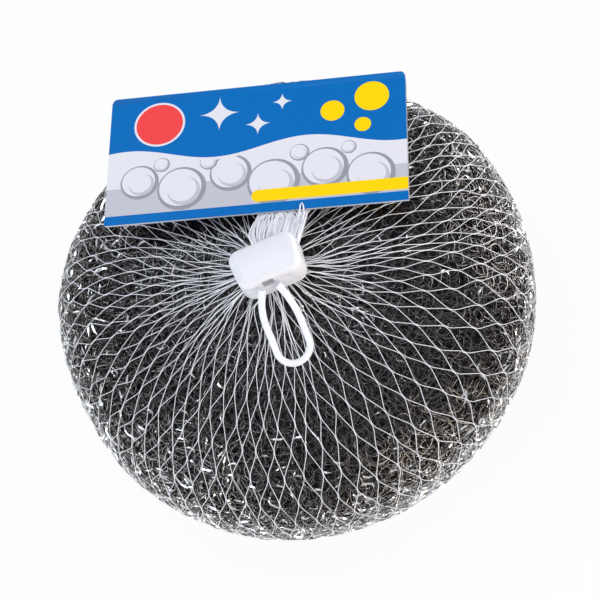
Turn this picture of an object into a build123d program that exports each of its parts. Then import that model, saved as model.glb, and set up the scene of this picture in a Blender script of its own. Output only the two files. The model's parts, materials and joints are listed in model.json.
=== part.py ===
"""Pot scrubber: a long knitted sleeve of flat galvanised wire rolled into a flattened ball, packed in a
net bag whose neck is gripped by a moulded clip with a hang loop, with a folded header card on the tail.

Millimetres, +Z up. The origin is the middle of the flat face that the ball rests on, and +Z is the axis
of the ball and of the net's neck. The hang loop points along -Y and the card lies towards +Y."""

from build123d import *
import math
import os

# Ball of knitted wire, measured over the bare sleeve
ball_diameter = 129.0
ball_thickness = 61.0
fullness_share = 0.85
flat_depth = 1.0

# The sleeve is one tube rolled over itself: the depth of each turn and the slack between turns, at the rim
turn_depth = 9.0
turn_slack = 0.4
turn_count = 3
turn_cell_count = 12
turn_row_count = 3
channel_radius = 8.5
bulge_share = 0.06

# Gathered middle of the sleeve and the flat wire tied round it
gather_clearance = 1.3
gather_side_count = 12
tie_thickness = 0.7
tie_height = 1.4
tie_clearance = 0.1

# Net bag: coarse diamonds, long from the neck to the bottom
net_thickness = 1.1
net_clearance = 0.9
strand_width = 1.9
widest_frame_share = 0.6
cell_count = 24
upper_row_count = 5
lower_row_count = 5
net_twist = -20.0
neck_ring_radius = 4.0
neck_rise = 4.0
neck_spread = 9.0
weld_ring_radius = 6.5
weld_thickness = 0.6
part_clearance = 0.3
outline_sample_count = 400

# Moulded clip, turned a little about the neck and leaning back on it
clip_width_rear = 18.8
clip_width_front = 16.8
clip_length = 11.4
clip_thickness = 9.0
clip_corner = 3.0
clip_top_edge = 2.2
clip_bottom_edge = 0.9
clip_edge_step_count = 3
clip_lean = 10.0
clip_yaw = -2.5
clip_lift = 0.6
clip_offset_x = 0.4
clip_offset_y = -1.1
channel_height = 3.4
exit_offset = 4.4
exit_width = 7.6
exit_lip = 0.1
nose_share = 0.85
bundle_clearance = 0.3
overrun = 1.0

# Front face of the clip: latch slot between the loop's legs, and two moulding recesses
slot_width = 3.0
slot_height = 2.6
slot_offset_x = -1.4
slot_offset_z = 1.7
recess_width = 2.4
recess_height = 0.9
recess_depth = 0.8
recess_spacing = 9.6
wedge_setback = 0.6
wedge_clearance = 0.1
tooth_count = 3

# Hang loop: its legs spread over the first stretch, run side by side and close in a half circle
loop_strand = 2.0
loop_side_count = 12
loop_length = 20.1
loop_half_width = 4.35
loop_root_half_gap = 2.1
loop_spread_length = 9.5
loop_droop = 22.0
loop_lean = 2.5
loop_clearance = 0.3

# Header card: one sheet folded at its far edge
card_width = 80.0
card_height = 40.5
card_board = 0.4
leaf_gap = 1.3
leaf_setback = 0.8
card_corner = 2.5
card_yaw = -21.25
card_pitch = -14.9
card_shift_x = -5.9
card_shift_y = 6.97
card_shift_z = -3.13

# Tail of the net, and the glue that holds it between the leaves
tail_root_width = 7.0
tail_root_thickness = 0.5
hinge_clearance = 0.4
tail_edge_width = 8.2
tail_edge_offset = 3.2
tail_end_width = 13.0
tail_thickness = 0.8
tail_depth = 16.0
glue_width = 30.0
glue_height = 7.0
glue_clearance = 0.1

# Sizes that follow from these
exit_half = exit_width / 2 - bundle_clearance
exit_slant = exit_half * abs(math.tan(math.radians(card_yaw - clip_yaw)))
bag_radius = ball_diameter / 2 + net_clearance + net_thickness
bag_half_height = (ball_thickness + flat_depth) / 2 + (net_clearance + net_thickness) / 2
middle_height = bag_half_height - flat_depth
middle = Vector(0, 0, middle_height)
net_depth = net_thickness + net_clearance
strand_radius = loop_strand / 2
board_fold = leaf_gap / 2 + card_board
quarter_turn = math.pi / 2
full_turn = 2 * math.pi


def outline_point(angle):
    """Radius and height of the bag at an angle counted from the neck: an ellipse whose sine and cosine are
    raised to fullness_share, with a peak under the neck and a flat where it rests."""
    cosine = math.cos(angle)
    radius = bag_radius * math.sin(angle) ** fullness_share
    height = middle_height + bag_half_height * math.copysign(abs(cosine) ** fullness_share, cosine)
    if cosine > 0:
        height += neck_rise * math.exp(-((radius / neck_spread) ** 2))
    return radius, max(height, 0)


def angle_at(radius):
    """Angle from the pole at which the outline has this radius."""
    return math.asin((radius / bag_radius) ** (1 / fullness_share))


def even_angles(start, end, count):
    """Angles that cut the outline from start to end into count pieces of one length."""
    angles = [start + (end - start) * step / outline_sample_count for step in range(outline_sample_count + 1)]
    points = [outline_point(angle) for angle in angles]
    run = [0]
    for before, after in zip(points, points[1:]):
        run.append(run[-1] + math.dist(before, after))
    wanted = [run[-1] * step / count for step in range(1, count)]
    inner = [next(angle for angle, length in zip(angles, run) if length >= goal) for goal in wanted]
    return [start] + inner + [end]


def lattice(angles, around, depth, whole_twist=0):
    """Rings of points on the outline, each ring half a cell further round than the one above, with a twist
    in degrees, all shrunk towards the middle of the ball so that the rim lies depth inside the bag."""
    shrink = 1 - depth / bag_radius
    last = angles[-1]
    rings = []
    for row, angle in enumerate(angles):
        radius, height = outline_point(angle)
        twist = math.radians(whole_twist) * angle / last
        ring = []
        for place in range(around):
            turn = full_turn * (place + row / 2) / around + twist
            point = Vector(radius * math.cos(turn), radius * math.sin(turn), height)
            ring.append(middle + (point - middle) * shrink)
        rings.append(ring)
    return rings


def cells(rings):
    """The four corners of each diamond between three rings: top, left, bottom and right."""
    around = len(rings[0])
    for row in range(1, len(rings) - 1):
        for place in range(around):
            left = rings[row][place - 1]
            right = rings[row][place]
            yield rings[row - 1][place], left, rings[row + 1][place - 1], right


def end_triangles(rings):
    """The half diamonds that close the lattice at its first and last ring."""
    around = len(rings[0])
    for place in range(around):
        yield rings[0][place], rings[1][place], rings[0][(place + 1) % around]
        yield rings[-1][place], rings[-1][(place + 1) % around], rings[-2][(place + 1) % around]


def flat_face(*points):
    """One flat face through points that lie in a plane."""
    return Face(Wire.make_polygon(points))


def cell_radius(corners):
    """Radius of the circle that fits in a diamond."""
    top, left, bottom, right = corners
    tall = (top - bottom).length
    wide = (left - right).length
    return tall * wide / (2 * math.hypot(tall, wide))


def centre_of(corners):
    """Mean of the corners."""
    total = corners[0]
    for corner in corners[1:]:
        total = total + corner
    return total / len(corners)


def frame_share(corners):
    """How far each corner of the opening lies from the diamond's corner towards its middle."""
    return min(strand_width / 2 / cell_radius(corners), widest_frame_share)


def plain_surface(rings):
    """Two flat triangles to a diamond, split along its short diagonal, which keeps the ball convex."""
    faces = [flat_face(*points) for points in end_triangles(rings)]
    for top, left, bottom, right in cells(rings):
        faces.append(flat_face(top, left, right))
        faces.append(flat_face(bottom, right, left))
    return faces


def bulging_surface(rings):
    """Four flat triangles to a diamond, whose middle swells out through the net's opening."""
    faces = [flat_face(*points) for points in end_triangles(rings)]
    for corners in cells(rings):
        centre = centre_of(corners)
        swell = (centre - middle).normalized() * (bulge_share * cell_radius(corners))
        for here, there in zip(corners, corners[1:] + corners[:1]):
            faces.append(flat_face(here, there, centre + swell))
    return faces


def ring_wall(first, second):
    """Triangles that join two rings of any counts. They start at the two points that face each other, and
    step each time on the ring that lags behind."""
    start = min(range(len(second)), key=lambda place: (second[place] - first[0]).length)
    second = second[start:] + second[:start]
    faces = []
    here = 0
    there = 0
    while here < len(first) or there < len(second):
        near = first[here % len(first)]
        far = second[there % len(second)]
        if there == len(second) or (here < len(first) and here * len(second) <= there * len(first)):
            here += 1
            faces.append(flat_face(near, first[here % len(first)], far))
        else:
            there += 1
            faces.append(flat_face(near, second[there % len(second)], far))
    return faces


def solid_of(faces):
    """The closed solid that a set of faces bounds."""
    return Solid(Shell(faces))


neck_angle = angle_at(neck_ring_radius)
channel_angle = angle_at(channel_radius)
weld_angle = math.pi - angle_at(weld_ring_radius)
upper_angles = even_angles(channel_angle, quarter_turn, upper_row_count)
lower_angles = even_angles(quarter_turn, weld_angle, lower_row_count)
ball_angles = upper_angles + lower_angles[1:]
turn_angles = (
    even_angles(channel_angle, quarter_turn, turn_row_count)
    + even_angles(quarter_turn, weld_angle, turn_row_count)[1:]
)


def net_rings(depth):
    """The net's lattice from the neck ring to the weld ring. The ball's own surface has all of it but the
    neck ring."""
    return lattice([neck_angle] + ball_angles, cell_count, depth, net_twist)


def sleeve_rings(depth):
    """The coarser lattice of the surfaces that lie inside the ball."""
    return lattice(turn_angles, turn_cell_count, depth)


def net_bag():
    """The net drawn over the ball: a frame of four flat strips in each diamond, open in the middle, with
    the same frames inside and flat walls between, and closed collars at the neck and the weld."""
    outside = net_rings(0)
    inside = net_rings(net_thickness)
    faces = []
    for outer, inner in zip(cells(outside), cells(inside)):
        share = frame_share(outer)
        outer_hole = [corner + (centre_of(outer) - corner) * share for corner in outer]
        inner_hole = [corner + (centre_of(inner) - corner) * share for corner in inner]
        for side in range(len(outer)):
            after = (side + 1) % len(outer)
            faces.append(flat_face(outer[side], outer[after], outer_hole[after], outer_hole[side]))
            faces.append(flat_face(inner[side], inner[after], inner_hole[after], inner_hole[side]))
            faces.append(flat_face(outer_hole[side], outer_hole[after], inner_hole[after], inner_hole[side]))
    for rings in (outside, inside):
        faces += [flat_face(*points) for points in end_triangles(rings)]
    faces += ring_wall(outside[0], inside[0])
    faces += ring_wall(outside[-1], inside[-1])
    return solid_of(faces)


def turn_faces(number):
    """Depth at the rim of the outside and the inside of one turn of the sleeve, the first outermost."""
    outside = net_depth + number * (turn_depth + turn_slack)
    return outside, outside + turn_depth


def sleeve_turn(number):
    """One turn of the rolled sleeve, a shell open at both poles where the roll's middle passes."""
    outer_depth, inner_depth = turn_faces(number)
    if number == 0:
        outside = net_rings(outer_depth)[1:]
        faces = bulging_surface(outside)
    else:
        outside = sleeve_rings(outer_depth)
        faces = plain_surface(outside)
    inside = sleeve_rings(inner_depth)
    faces += plain_surface(inside)
    faces += ring_wall(outside[0], inside[0])
    faces += ring_wall(outside[-1], inside[-1])
    return solid_of(faces)


def sleeve_core():
    """The innermost roll, with the channel straight through it."""
    rings = sleeve_rings(turn_faces(turn_count)[0])
    return solid_of(plain_surface(rings) + ring_wall(rings[0], rings[-1]))


def gather_stations():
    """Height and radius of the gathered middle where it passes the ends of the outer turn and of the core,
    from the top down."""
    apothem_share = math.cos(math.pi / gather_side_count)
    outer = net_rings(net_depth)[1:]
    core = sleeve_rings(turn_faces(turn_count)[0])
    stations = []
    for ring in (outer[0], core[0], core[-1], outer[-1]):
        radius = math.hypot(ring[0].X, ring[0].Y) * apothem_share - gather_clearance
        stations.append([ring[0].Z, radius])
    stations[-1][0] = weld_thickness + part_clearance
    return stations


def centre_gather():
    """The sleeve's ends drawn through the middle of the roll, wider at both ends than at its waist."""
    rings = []
    for height, radius in gather_stations():
        turns = [full_turn * side / gather_side_count for side in range(gather_side_count)]
        rings.append([Vector(radius * math.cos(turn), radius * math.sin(turn), height) for turn in turns])
    faces = [flat_face(*rings[0]), flat_face(*rings[-1])]
    for above, below in zip(rings, rings[1:]):
        for side in range(gather_side_count):
            faces.append(flat_face(above[side - 1], above[side], below[side], below[side - 1]))
    return solid_of(faces)


def tie_wire():
    """Flat wire tied round the waist of the gathered middle, inside the core."""
    stations = gather_stations()
    top_height, top_radius = stations[1]
    low_height, low_radius = stations[2]
    taper = (top_radius - low_radius) / (top_height - low_height)
    inner_radius = (top_radius + low_radius) / 2 + tie_height * taper + tie_clearance
    outer = RegularPolygon(inner_radius + tie_thickness, gather_side_count)
    inner = RegularPolygon(inner_radius, gather_side_count)
    band = extrude(outer - inner, tie_height / 2, both=True)
    return Pos(0, 0, (top_height + low_height) / 2) * band


def bottom_weld():
    """The melted button that closes the net's lower end, flush with the face that the ball rests on."""
    radius = weld_ring_radius * math.cos(math.pi / cell_count) - part_clearance
    return Pos(0, 0, weld_thickness / 2) * Cylinder(radius, weld_thickness)


# The clip stands on the neck ring. Its own frame has the origin in the middle of the moulding.
neck_ring_height = outline_point(neck_angle)[1]
clip_rear_drop = clip_length / 2 * math.sin(math.radians(clip_lean))
clip_height = neck_ring_height + clip_lift + clip_rear_drop + clip_thickness / 2
clip_place = Pos(clip_offset_x, clip_offset_y, clip_height) * Rot(Z=clip_yaw) * Rot(X=-clip_lean)
clip_front = -clip_length / 2
clip_rear = clip_length / 2
stalk_radius = neck_ring_radius - 2 * bundle_clearance
neck_middle = (Rot(Z=-clip_yaw) * Pos(-clip_offset_x, -clip_offset_y)).position


def bundle_outline(clearance, rear_right, rear_left):
    """Plan of the gathered net inside the clip, in the clip's frame: it comes up at the neck and leaves at
    the rear, further to the right, at the given places along Y. clearance widens it to the channel."""
    half_neck = stalk_radius + clearance
    front = neck_middle.Y - half_neck
    right = exit_offset + exit_half + clearance
    left = exit_offset - exit_half - clearance
    points = [(neck_middle.X - half_neck, front), (neck_middle.X + half_neck, front), (right, clip_rear)]
    points += [(right, rear_right), (left, rear_left), (left, clip_rear)]
    return make_face(Polyline(*points, close=True))


def stalk(radius, base):
    """The round part of the gathered net, or of its channel, from base up to the middle of the clip."""
    neck = Pos(neck_middle.X, neck_middle.Y, base)
    return neck * Cylinder(radius, -base, align=(Align.CENTER, Align.CENTER, Align.MIN))


def net_channel():
    """The way through the clip for the gathered net, in the clip's frame."""
    outline = bundle_outline(bundle_clearance, clip_rear + overrun, clip_rear + overrun)
    turn = extrude(outline, channel_height / 2, both=True)
    return turn + stalk(stalk_radius + bundle_clearance, -clip_thickness / 2 - overrun)


def clip_section(height, inset):
    """The moulding's tapered plan at a height, drawn in by an inset, with round corners."""
    front = clip_front + inset
    rear = clip_rear - inset
    half_front = clip_width_front / 2 - inset
    half_rear = clip_width_rear / 2 - inset
    points = [(-half_front, front), (half_front, front), (half_rear, rear), (-half_rear, rear)]
    plan = make_face(Polyline(*points, close=True))
    return Pos(0, 0, height) * fillet(plan.vertices(), clip_corner - inset)


def clip_body():
    """Outside of the moulding, with edges rounded in flat steps, wide ones above and narrow ones below."""
    sections = []
    for step in range(clip_edge_step_count + 1):
        turn = quarter_turn * step / clip_edge_step_count
        rise = clip_bottom_edge * (1 - math.cos(turn))
        sections.append(clip_section(-clip_thickness / 2 + rise, clip_bottom_edge * (1 - math.sin(turn))))
    for step in range(clip_edge_step_count + 1):
        turn = quarter_turn * step / clip_edge_step_count
        drop = clip_top_edge * (1 - math.sin(turn))
        sections.append(clip_section(clip_thickness / 2 - drop, clip_top_edge * (1 - math.cos(turn))))
    return loft(sections, ruled=True)


def front_pocket(width, height, depth, offset_x):
    """A square pocket sunk from the clip's front face."""
    place = Pos(offset_x, clip_front - overrun, slot_offset_z)
    return place * Box(width, depth + overrun, height, align=(Align.CENTER, Align.MIN, Align.CENTER))


def neck_front():
    """Where the front of the channel lies in the clip's frame."""
    return neck_middle.Y - neck_ring_radius + bundle_clearance


def clip_housing():
    """The moulded clip with the channel for the net, the latch slot and the two recesses."""
    body = clip_body()
    body -= net_channel()
    slot_depth = neck_front() - clip_front + bundle_clearance
    body -= front_pocket(slot_width, slot_height, slot_depth, slot_offset_x)
    for side in (-1, 1):
        offset_x = slot_offset_x + side * recess_spacing / 2
        body -= front_pocket(recess_width, recess_height, recess_depth, offset_x)
    return clip_place * body


def net_neck():
    """The gathered net where it passes through the clip. It comes up from just above the neck ring, turns
    to the rear and ends in a rounded nose that faces the root of the tail."""
    half_height = channel_height / 2 - bundle_clearance
    outline = bundle_outline(0, clip_rear + exit_lip, clip_rear + exit_lip + 2 * exit_slant)
    turn = extrude(outline, half_height, both=True)
    nose = turn.faces().sort_by(Axis.Y)[-1].edges().filter_by(lambda edge: edge.center().Z != 0)
    turn = fillet(nose, half_height * nose_share)
    foot = -clip_thickness / 2 - (clip_lift + clip_rear_drop) / 2
    return clip_place * (turn + stalk(stalk_radius, foot))


def lock_wedge():
    """The wedge in the latch slot, with a row of teeth that bite the gathered net."""
    start = clip_front + wedge_setback
    end = neck_front() - wedge_clearance
    half_width = slot_width / 2 - wedge_clearance
    tooth_pitch = 2 * half_width / tooth_count
    tooth_root = end - tooth_pitch / 2
    points = [(slot_offset_x + half_width, start), (slot_offset_x - half_width, start)]
    for tooth in range(tooth_count):
        left = slot_offset_x - half_width + tooth * tooth_pitch
        points += [(left, tooth_root), (left + tooth_pitch / 2, end)]
    points.append((slot_offset_x + half_width, tooth_root))
    outline = make_face(Polyline(*points, close=True))
    wedge = extrude(outline, slot_height / 2 - wedge_clearance, both=True)
    return clip_place * Pos(0, 0, slot_offset_z) * wedge


# The loop's own frame has the origin between its two roots, and the loop runs along -Y.
loop_root = clip_place * Pos(slot_offset_x, clip_front - loop_clearance - strand_radius, slot_offset_z)
loop_pivot = loop_root.position
loop_place = Pos(loop_pivot) * Rot(Z=clip_yaw) * Rot(X=loop_droop) * Rot(Z=-loop_lean)


def loop_path():
    """Middle line of the loop's strand: a leg that spreads on an arc, its straight run, the half circle at
    the end, and the other leg back."""
    spread = loop_half_width - loop_root_half_gap
    leg_radius = (spread**2 + loop_spread_length**2) / (2 * spread)
    half_angle = math.asin(loop_spread_length / leg_radius) / 2
    bow_x = loop_half_width - leg_radius * (1 - math.cos(half_angle))
    bow_y = leg_radius * math.sin(half_angle) - loop_spread_length
    right_root = (loop_root_half_gap, 0)
    right_bow = (bow_x, bow_y)
    right_spread = (loop_half_width, -loop_spread_length)
    right_end = (loop_half_width, loop_half_width - loop_length)
    right_points = (right_root, right_bow, right_spread, right_end)
    left_root, left_bow, left_spread, left_end = [(-x, y) for x, y in right_points]
    left_leg = ThreePointArc(left_root, left_bow, left_spread) + Line(left_spread, left_end)
    end = ThreePointArc(left_end, (0, -loop_length), right_end)
    return left_leg + end + Line(right_end, right_spread) + ThreePointArc(right_spread, right_bow, right_root)


def hang_loop():
    """The hanging eye: a strand of many flat sides, and at each root a short pin along the hinge's axis."""
    path = loop_path()
    section = RegularPolygon(strand_radius, loop_side_count)
    strand = sweep(Plane(origin=path @ 0, z_dir=path % 0) * section, path)
    pin = Rot(Y=90) * extrude(section, strand_radius, both=True)
    for x in (-loop_root_half_gap, loop_root_half_gap):
        strand += Pos(x, 0, 0) * pin
    return loop_place * strand


# The card hangs on the tail, whose root is the hinge line behind the clip.
tail_root = clip_place * Pos(exit_offset, clip_rear + exit_lip + exit_slant + hinge_clearance, 0)
tail_pivot = tail_root.position
header_place = Pos(tail_pivot) * Rot(Z=card_yaw)
card_place = header_place * Pos(card_shift_x, card_shift_y, card_shift_z) * Rot(X=card_pitch)


def upright_strip(front, back, low, high):
    """A rectangle in the card's section plane, between two depths behind the front face and two heights."""
    centre = Pos((low + high) / 2, -(front + back) / 2)
    return centre * Rectangle(high - low, back - front)


def header_card():
    """One sheet folded at its far edge round the tail, with round corners at the fold. The back leaf is cut
    a little shorter than the front one."""
    fold_line = card_height - board_fold
    fold_centre = Pos(fold_line, -board_fold)
    outside = fold_centre * Circle(board_fold) + upright_strip(0, 2 * board_fold, 0, fold_line)
    inside = fold_centre * Circle(leaf_gap / 2)
    inside += upright_strip(card_board, card_board + leaf_gap, -overrun, fold_line)
    inside += upright_strip(card_board, 2 * board_fold + overrun, -overrun, leaf_setback)
    card = extrude(Plane.YZ * (outside - inside), card_width / 2, both=True)
    blank = Pos(0, card_height / 2) * Rectangle(card_width, card_height)
    blank = fillet(blank.vertices().group_by(Axis.Y)[-1], card_corner)
    return card_place * (card & extrude(blank, card_height, both=True))


# Between the leaves, above the middle of the tail's place in the card's lower edge
between_leaves = card_place * Pos(tail_edge_offset - card_shift_x, 0, -board_fold)


def net_tail():
    """The bundle of cut net from the clip's rear into the card, where it fans out flat."""
    across = Rot(X=90)
    root = header_place * across * Rectangle(tail_root_width, tail_root_thickness)
    edge = between_leaves * across * Rectangle(tail_edge_width, tail_thickness)
    end = between_leaves * Pos(0, tail_depth, 0) * across * Rectangle(tail_end_width, tail_thickness)
    return loft([root, edge], ruled=True) + loft([edge, end], ruled=True)


def glue_strip():
    """The strip of glue across the end of the tail, which fills the gap between the leaves."""
    low = tail_depth + glue_clearance
    thickness = leaf_gap - 2 * glue_clearance
    return between_leaves * Pos(0, low + glue_height / 2, 0) * Box(glue_width, glue_height, thickness)


nodes = {
    "net_bag": net_bag(),
    "bottom_weld": bottom_weld(),
    "sleeve_core": sleeve_core(),
    "centre_gather": centre_gather(),
    "tie_wire": tie_wire(),
    "clip_housing": clip_housing(),
    "net_neck": net_neck(),
    "lock_wedge": lock_wedge(),
    "hang_loop": hang_loop(),
    "header_card": header_card(),
    "net_tail": net_tail(),
    "glue_strip": glue_strip(),
}
turn_names = ("sleeve_outer_turn", "sleeve_middle_turn", "sleeve_inner_turn")
for number, name in enumerate(turn_names[:turn_count]):
    nodes[name] = sleeve_turn(number)

os.makedirs("parts", exist_ok=True)
for name, solid in nodes.items():
    export_step(solid, f"parts/{name}.step")

card_hinge = (header_place * Pos(X=1)).position - tail_pivot
loop_hinge = (Rot(Z=clip_yaw) * Pos(X=-1)).position
print("loop pivot", loop_pivot, "loop hinge", loop_hinge, "tail pivot", tail_pivot, "card hinge", card_hinge)
print("neck ring height", neck_ring_height)
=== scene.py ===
import json
import math

import bmesh
import bpy
import numpy as np
from mathutils import Matrix, Vector


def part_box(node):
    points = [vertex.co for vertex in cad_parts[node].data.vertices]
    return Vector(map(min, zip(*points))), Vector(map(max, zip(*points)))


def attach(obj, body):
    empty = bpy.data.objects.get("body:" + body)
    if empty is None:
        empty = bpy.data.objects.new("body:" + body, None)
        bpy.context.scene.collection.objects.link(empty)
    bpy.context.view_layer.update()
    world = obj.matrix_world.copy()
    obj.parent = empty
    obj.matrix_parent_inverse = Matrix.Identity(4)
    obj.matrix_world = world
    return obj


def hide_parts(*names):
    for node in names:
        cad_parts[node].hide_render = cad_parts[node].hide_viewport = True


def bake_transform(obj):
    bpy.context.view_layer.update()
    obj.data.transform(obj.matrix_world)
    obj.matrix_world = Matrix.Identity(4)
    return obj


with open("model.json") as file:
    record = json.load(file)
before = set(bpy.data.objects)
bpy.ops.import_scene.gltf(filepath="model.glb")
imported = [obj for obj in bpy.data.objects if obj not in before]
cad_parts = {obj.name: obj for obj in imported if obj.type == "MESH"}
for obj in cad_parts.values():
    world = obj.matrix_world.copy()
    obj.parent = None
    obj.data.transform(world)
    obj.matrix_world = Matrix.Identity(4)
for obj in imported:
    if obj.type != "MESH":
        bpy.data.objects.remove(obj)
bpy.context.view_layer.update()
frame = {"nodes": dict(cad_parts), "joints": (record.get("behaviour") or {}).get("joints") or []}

# Camera and studio. The scrubber lies on a pale table, seen from almost straight above through a longish
# lens held askew. Two soft lamps light it from above, cool at its upper left and warm at its lower right, two
# lower ones graze its sides, and pale light comes from all around.
mm = 0.001
camera_target = Vector((0, 0, 31 * mm))
camera_distance = 468.4 * mm
camera_elevation = math.radians(73.24)
camera_azimuth = math.radians(12.90)
camera_roll = math.radians(37.56)
sensor_width = 36.0
lens_length = 102.0
shift_right = 0.0100
shift_up = -0.0014

back = Vector((
    math.cos(camera_elevation) * math.sin(camera_azimuth),
    -math.cos(camera_elevation) * math.cos(camera_azimuth),
    math.sin(camera_elevation),
))
level_right = Vector((math.cos(camera_azimuth), math.sin(camera_azimuth), 0))
level_up = back.cross(level_right)
right = level_right * math.cos(camera_roll) - level_up * math.sin(camera_roll)
up = level_up * math.cos(camera_roll) + level_right * math.sin(camera_roll)
place = camera_target + back * camera_distance
camera_data = bpy.data.cameras.new("camera")
camera_data.sensor_width = sensor_width
camera_data.lens = lens_length
camera_data.shift_x = shift_right
camera_data.shift_y = shift_up
camera = bpy.data.objects.new("camera", camera_data)
camera.matrix_world = Matrix((
    (right.x, up.x, back.x, place.x),
    (right.y, up.y, back.y, place.y),
    (right.z, up.z, back.z, place.z),
    (0, 0, 0, 1),
))
bpy.context.scene.collection.objects.link(camera)
bpy.context.scene.camera = camera
bpy.context.scene.view_settings.view_transform = "Standard"


def soft_lamp(name, toward, side, power, tint):
    """A square area lamp that faces the scrubber, placed by metres to the right, up and back as seen by the
    camera. Its side is in metres and its power in watts."""
    data = bpy.data.lights.new(name, "AREA")
    data.size = side
    data.energy = power
    data.color = tint
    lamp = bpy.data.objects.new(name, data)
    lamp.location = camera_target + right * toward[0] + up * toward[1] + back * toward[2]
    lamp.rotation_euler = (camera_target - lamp.location).to_track_quat("-Z", "Y").to_euler()
    bpy.context.scene.collection.objects.link(lamp)


soft_lamp("key_lamp", (-0.50, 0.50, 0.65), 0.5, 3.0, (0.78, 0.89, 1.0))
soft_lamp("fill_lamp", (0.50, -0.50, 0.50), 0.5, 2.9, (1.0, 0.90, 0.80))
soft_lamp("right_lamp", (0.65, 0.45, 0.30), 0.5, 3.4, (1.0, 0.99, 0.97))
soft_lamp("left_lamp", (-0.58, -0.48, 0.35), 0.6, 2.6, (0.84, 0.92, 1.0))


def add_node(tree, kind, inputs=None, **settings):
    """Adds one shader node, sets its settings, and fills its inputs from values or other nodes' outputs."""
    node = tree.nodes.new("ShaderNode" + kind)
    for name, value in settings.items():
        setattr(node, name, value)
    for name, value in (inputs or {}).items():
        if isinstance(value, bpy.types.NodeSocket):
            tree.links.new(value, node.inputs[name])
        else:
            node.inputs[name].default_value = value
    return node


def hex_colour(text):
    """Linear RGBA of an sRGB colour written as six hex digits."""
    shares = [int(text[place:place + 2], 16) / 255 for place in (0, 2, 4)]
    linear = [share / 12.92 if share <= 0.04045 else ((share + 0.055) / 1.055) ** 2.4 for share in shares]
    return (*linear, 1)


def new_material(name):
    """An empty node material and its tree."""
    material = bpy.data.materials.new(name)
    material.use_nodes = True
    material.node_tree.nodes.clear()
    return material, material.node_tree


# The camera sees the surroundings as pure white, and the scrubber is lit by a weaker, slightly cool white.
sky_strength = 0.55
white_strength = 1.0
world = bpy.data.worlds.new("studio")
world.use_nodes = True
bpy.context.scene.world = world
sky = world.node_tree
sky.nodes.clear()
sky_path = add_node(sky, "LightPath")
sky_light = add_node(sky, "Background", {"Color": hex_colour("f4f6fa"), "Strength": sky_strength})
sky_white = add_node(sky, "Background", {"Color": hex_colour("ffffff"), "Strength": white_strength})
sky_mix = add_node(sky, "MixShader", {
    0: sky_path.outputs["Is Camera Ray"],
    1: sky_light.outputs[0],
    2: sky_white.outputs[0],
})
add_node(sky, "OutputWorld", {"Surface": sky_mix.outputs[0]})

# Table top: matt white board, which shows almost white to the camera and keeps a faint shadow.
table_half = 3.0
table_white_share = 0.93
table_corners = [(x * table_half, y * table_half, 0) for x, y in ((-1, -1), (1, -1), (1, 1), (-1, 1))]
table_data = bpy.data.meshes.new("table_top")
table_data.from_pydata(table_corners, [], [(0, 1, 2, 3)])
table_top = bpy.data.objects.new("table_top", table_data)
bpy.context.scene.collection.objects.link(table_top)
table_paint, tree = new_material("matt_white_board")
path = add_node(tree, "LightPath")
seen = add_node(tree, "Math", {
    0: path.outputs["Is Camera Ray"],
    1: path.outputs["Is Glossy Ray"],
}, operation="MAXIMUM")
seen = add_node(tree, "Math", {
    0: seen.outputs[0],
    1: path.outputs["Is Transmission Ray"],
}, operation="MAXIMUM")
white_part = add_node(tree, "Math", {0: seen.outputs[0], 1: table_white_share}, operation="MULTIPLY")
matt = add_node(tree, "BsdfDiffuse", {"Color": hex_colour("eeeeee")})
white = add_node(tree, "Emission", {"Color": hex_colour("ffffff"), "Strength": white_strength})
mixed = add_node(tree, "MixShader", {0: white_part.outputs[0], 1: matt.outputs[0], 2: white.outputs[0]})
add_node(tree, "OutputMaterial", {"Surface": mixed.outputs[0]})
table_data.materials.append(table_paint)

# Outline of the ball. The net lies on an ellipse with fuller shoulders, drawn up to a peak at the neck and
# flat underneath, where the weld is. Every layer of wire and net is placed on it by its azimuth, its run from
# the neck and its depth under the net.
net_low, net_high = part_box("net_bag")
bag_radius = (net_high.x - net_low.x) / 2
fullness_share = 0.85
neck_radius = 4 * mm
neck_rise = 4 * mm
neck_spread = 9 * mm
flat_depth = 1 * mm
weld_radius = 6.5 * mm
half_height = (net_high.z + flat_depth - neck_rise * math.exp(-((neck_radius / neck_spread) ** 2))) / 2
full_turn = 2 * math.pi
outline_step_count = 6001

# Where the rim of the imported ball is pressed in, mostly behind the header card, by azimuth
press_azimuths = np.radians([-159, -144, -128, -113, -82, -70, -34, -11, 26, 52, 108, 124, 154])
press_depths = np.array([4.7, 3.4, 1.1, 0.0, 1.1, 0.3, 0.0, 0.6, 0.6, 0.0, 0.5, 2.4, 4.7]) * mm

outline_steps = np.linspace(0.0, math.pi, outline_step_count)
outline_cosine = np.cos(outline_steps)
outline_radius = bag_radius * np.sin(outline_steps).clip(0) ** fullness_share
outline_lift = np.sign(outline_cosine) * abs(outline_cosine) ** fullness_share
outline_height = half_height - flat_depth + half_height * outline_lift
outline_height += neck_rise * np.exp(-((outline_radius / neck_spread) ** 2)) * (outline_cosine > 0)
outline_height = outline_height.clip(0)
kept = (outline_radius >= neck_radius) & ((outline_cosine > 0) | (outline_radius >= weld_radius))
outline_radius = outline_radius[kept]
outline_height = outline_height[kept]
outline_run = np.concatenate([[0], np.cumsum(np.hypot(np.diff(outline_radius), np.diff(outline_height)))])
outline_slope = np.stack([
    np.gradient(outline_radius, outline_run),
    np.gradient(outline_height, outline_run),
], 1)
whole_run = outline_run[-1]


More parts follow.
